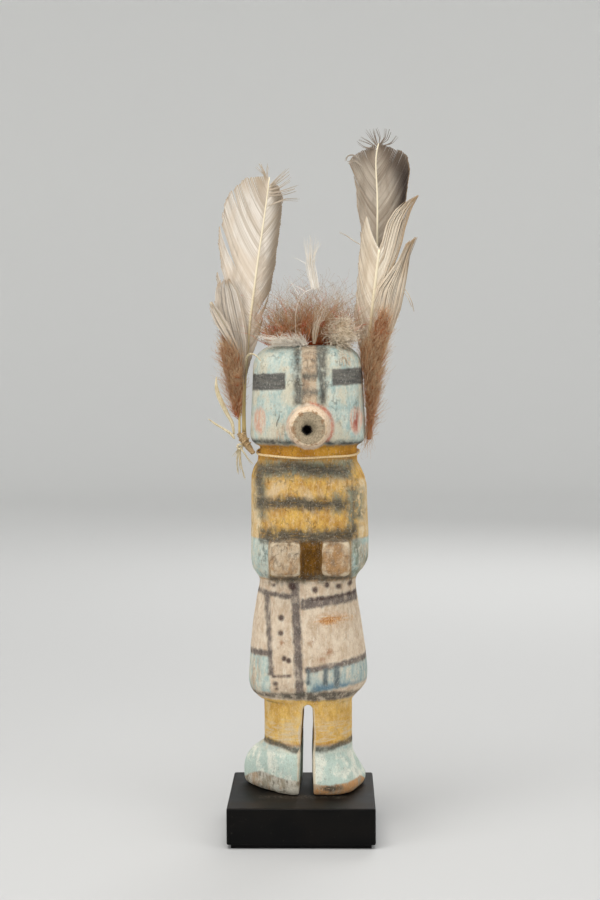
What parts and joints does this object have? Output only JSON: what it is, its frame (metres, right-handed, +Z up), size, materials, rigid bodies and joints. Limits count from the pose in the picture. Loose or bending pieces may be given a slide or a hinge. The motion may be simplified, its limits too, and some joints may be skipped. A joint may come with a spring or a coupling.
{
  "type": "kachina doll",
  "caption": "Standing carved and painted wooden doll with a tube snout, hands on the belly, a kilt, tied feathers, down and crown fur, on a square block.",
  "frame": {"origin": "middle of the underside of the square block", "axes": "+Z up the doll; the face looks along -Y; +X is to the right of somebody looking at the face"},
  "size_m": [0.0947, 0.065, 0.3094],
  "materials": {
    "painted_wood": "cottonwood root under thin matt earth paints: pale blue, yellow ochre, cream, black, with worn bare wood",
    "lacquer": "satin black lacquer with fine dust and faint scuffs",
    "twig": "cut twig, bare end grain, painted rim",
    "cotton": "undyed twisted cotton string",
    "white_feather": "off-white barbs on a pale shaft",
    "grey_feather": "grey-brown barbs on a pale shaft, darker to the outer edge",
    "rust_down": "fine rust-red down that fades to grey-brown at its tips",
    "fibre": "dry plant fibre, flat and split"
  },
  "bodies": {
    "root": {"base": "lacquer", "figure": "painted_wood", "snout": "twig", "neck_string": "cotton", "feather_left_main": "white_feather", "feather_left_small": "white_feather", "feather_right_back": "grey_feather", "feather_right_front": "white_feather", "down_left": "rust_down", "down_right": "rust_down", "binding_left": "fibre", "strip_long": "fibre", "strip_short": "fibre", "string_ends": "cotton", "loop_left": "fibre", "crown_fur": "rust_down", "crown_plume": "white_feather", "crown_wisp": "white_feather", "crown_down_left": "white_feather", "crown_down_right": "white_feather"}
  },
  "joints": []
}
